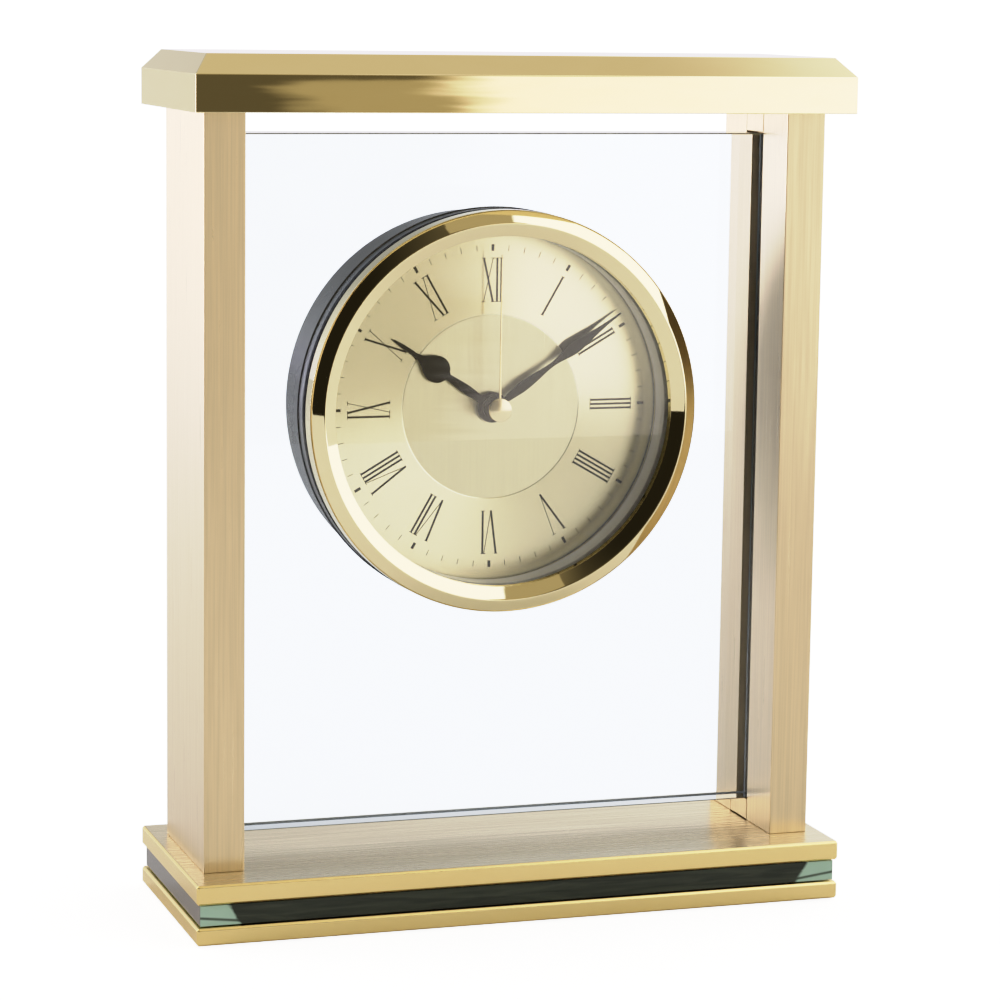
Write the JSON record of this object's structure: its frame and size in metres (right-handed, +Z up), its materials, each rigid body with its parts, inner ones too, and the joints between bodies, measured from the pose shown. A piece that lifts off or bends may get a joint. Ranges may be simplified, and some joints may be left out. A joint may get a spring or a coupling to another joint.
{
  "type": "mantel clock",
  "caption": "Free-standing mantel clock: a round quartz dial insert in a clear glass panel between brushed brass pillars, with a chamfered cap and a layered brass and glass base.",
  "frame": {"origin": "middle of the base, on the surface the clock stands on", "axes": "+Z up, +X to the right of the dial seen from the front, -Y the way the dial faces"},
  "size_m": [0.1568, 0.0584, 0.2],
  "materials": {
    "polished_gold": "polished gold-plated brass",
    "brushed_gold": "brushed gold-plated brass, grain along the length",
    "dial_champagne": "champagne dial, spun chapter ring and vertically brushed centre",
    "satin_silver": "satin",
    "clear_glass": "clear, polished edges",
    "green_glass": "clear glass slab that looks dark green through its edge",
    "black_plastic": "matte moulded",
    "grey_plastic": "matte moulded",
    "white_plastic": "natural acetal",
    "black_rubber": "matte",
    "black_felt": "dense felt",
    "black_enamel": "satin black enamel on brass sheet",
    "steel": "plain steel",
    "gear_brass": "bright machined brass",
    "copper_wire": "lacquered copper winding",
    "board_green": "solder-masked circuit board",
    "battery_jacket": "plain dark jacket"
  },
  "bodies": {
    "case": {"felt_pad": "black_felt", "base_bottom_plate": "polished_gold", "base_glass_slab": "green_glass", "base_top_plate": "brushed_gold", "cap": "polished_gold", "pillar_left": "brushed_gold", "pillar_right": "brushed_gold", "glass_panel": "clear_glass", "rubber_sleeve": "black_rubber", "bezel": "polished_gold", "lens": "clear_glass", "lens_seal": "black_rubber", "dial_ring": "satin_silver", "dial_plate": "dial_champagne", "drum_housing": "grey_plastic", "dial_support_ring": "black_plastic", "movement_case": "black_plastic", "movement_back": "black_plastic", "battery_contact_positive": "steel", "battery_contact_negative": "steel", "stator": "steel", "coil": "copper_wire", "circuit_board": "board_green", "quartz_crystal": "steel", "base_screw_left_front": "steel", "cap_stud_left_front": "steel", "base_screw_left_rear": "steel", "cap_stud_left_rear": "steel", "panel_rest_left_lower": "brushed_gold", "panel_rest_left_upper": "brushed_gold", "base_screw_right_front": "steel", "cap_stud_right_front": "steel", "base_screw_right_rear": "steel", "cap_stud_right_rear": "steel", "panel_rest_right_lower": "brushed_gold", "panel_rest_right_upper": "brushed_gold"},
    "minute": {"minute_arbor": "steel", "minute_hand": "black_enamel", "clutch_washer": "steel"},
    "hour": {"hour_wheel": "gear_brass", "hour_hand": "black_enamel"},
    "motion_wheel": {"motion_wheel": "white_plastic"},
    "setting_knob": {"setting_knob": "black_plastic"},
    "seconds": {"seconds_arbor": "steel", "seconds_hand": "polished_gold"},
    "third_wheel": {"third_wheel": "gear_brass"},
    "centre_wheel": {"centre_wheel": "gear_brass"},
    "fifth_wheel": {"fifth_wheel": "white_plastic"},
    "rotor": {"rotor": "steel"},
    "rear_cover": {"rear_cover": "grey_plastic"},
    "battery": {"battery": "battery_jacket"}
  },
  "joints": [
    {"name": "minute_spin", "type": "hinge", "parent": "case", "child": "minute", "pos_m": [0, 0.01, 0.1172], "axis": [0, 1, 0], "continuous": true},
    {"name": "hour_spin", "type": "hinge", "parent": "case", "child": "hour", "pos_m": [0, 0.01, 0.1172], "axis": [0, 1, 0], "continuous": true},
    {"name": "motion_wheel_spin", "type": "hinge", "parent": "case", "child": "motion_wheel", "pos_m": [-0.008, 0.01, 0.1172], "axis": [0, 1, 0], "continuous": true},
    {"name": "setting_knob_spin", "type": "hinge", "parent": "case", "child": "setting_knob", "pos_m": [-0.0149, 0.01, 0.112], "axis": [0, 1, 0], "continuous": true},
    {"name": "seconds_spin", "type": "hinge", "parent": "case", "child": "seconds", "pos_m": [0, 0.01, 0.1172], "axis": [0, 1, 0], "continuous": true},
    {"name": "third_wheel_spin", "type": "hinge", "parent": "case", "child": "third_wheel", "pos_m": [0.00935, 0.01, 0.1226], "axis": [0, 1, 0], "continuous": true},
    {"name": "centre_wheel_spin", "type": "hinge", "parent": "case", "child": "centre_wheel", "pos_m": [0, 0.01, 0.1172], "axis": [0, 1, 0], "continuous": true},
    {"name": "fifth_wheel_spin", "type": "hinge", "parent": "case", "child": "fifth_wheel", "pos_m": [-0.0036, 0.01, 0.12344], "axis": [0, 1, 0], "continuous": true},
    {"name": "rotor_spin", "type": "hinge", "parent": "case", "child": "rotor", "pos_m": [-0.0036, 0.01, 0.12973], "axis": [0, 1, 0], "continuous": true},
    {"name": "rear_cover_slide", "type": "slide", "parent": "case", "child": "rear_cover", "axis": [0, 1, 0], "range_m": [0, 0.02]},
    {"name": "battery_slide", "type": "slide", "parent": "case", "child": "battery", "axis": [0, 1, 0], "range_m": [0, 0.02]}
  ],
  "couplings": [
    {"joint": "motion_wheel_spin", "follows": "minute_spin", "ratio": -0.25},
    {"joint": "hour_spin", "follows": "minute_spin", "ratio": 0.083333},
    {"joint": "setting_knob_spin", "follows": "minute_spin", "ratio": 0.71429},
    {"joint": "third_wheel_spin", "follows": "seconds_spin", "ratio": -0.13333},
    {"joint": "centre_wheel_spin", "follows": "seconds_spin", "ratio": 0.016667},
    {"joint": "fifth_wheel_spin", "follows": "seconds_spin", "ratio": -5},
    {"joint": "rotor_spin", "follows": "seconds_spin", "ratio": 30}
  ]
}
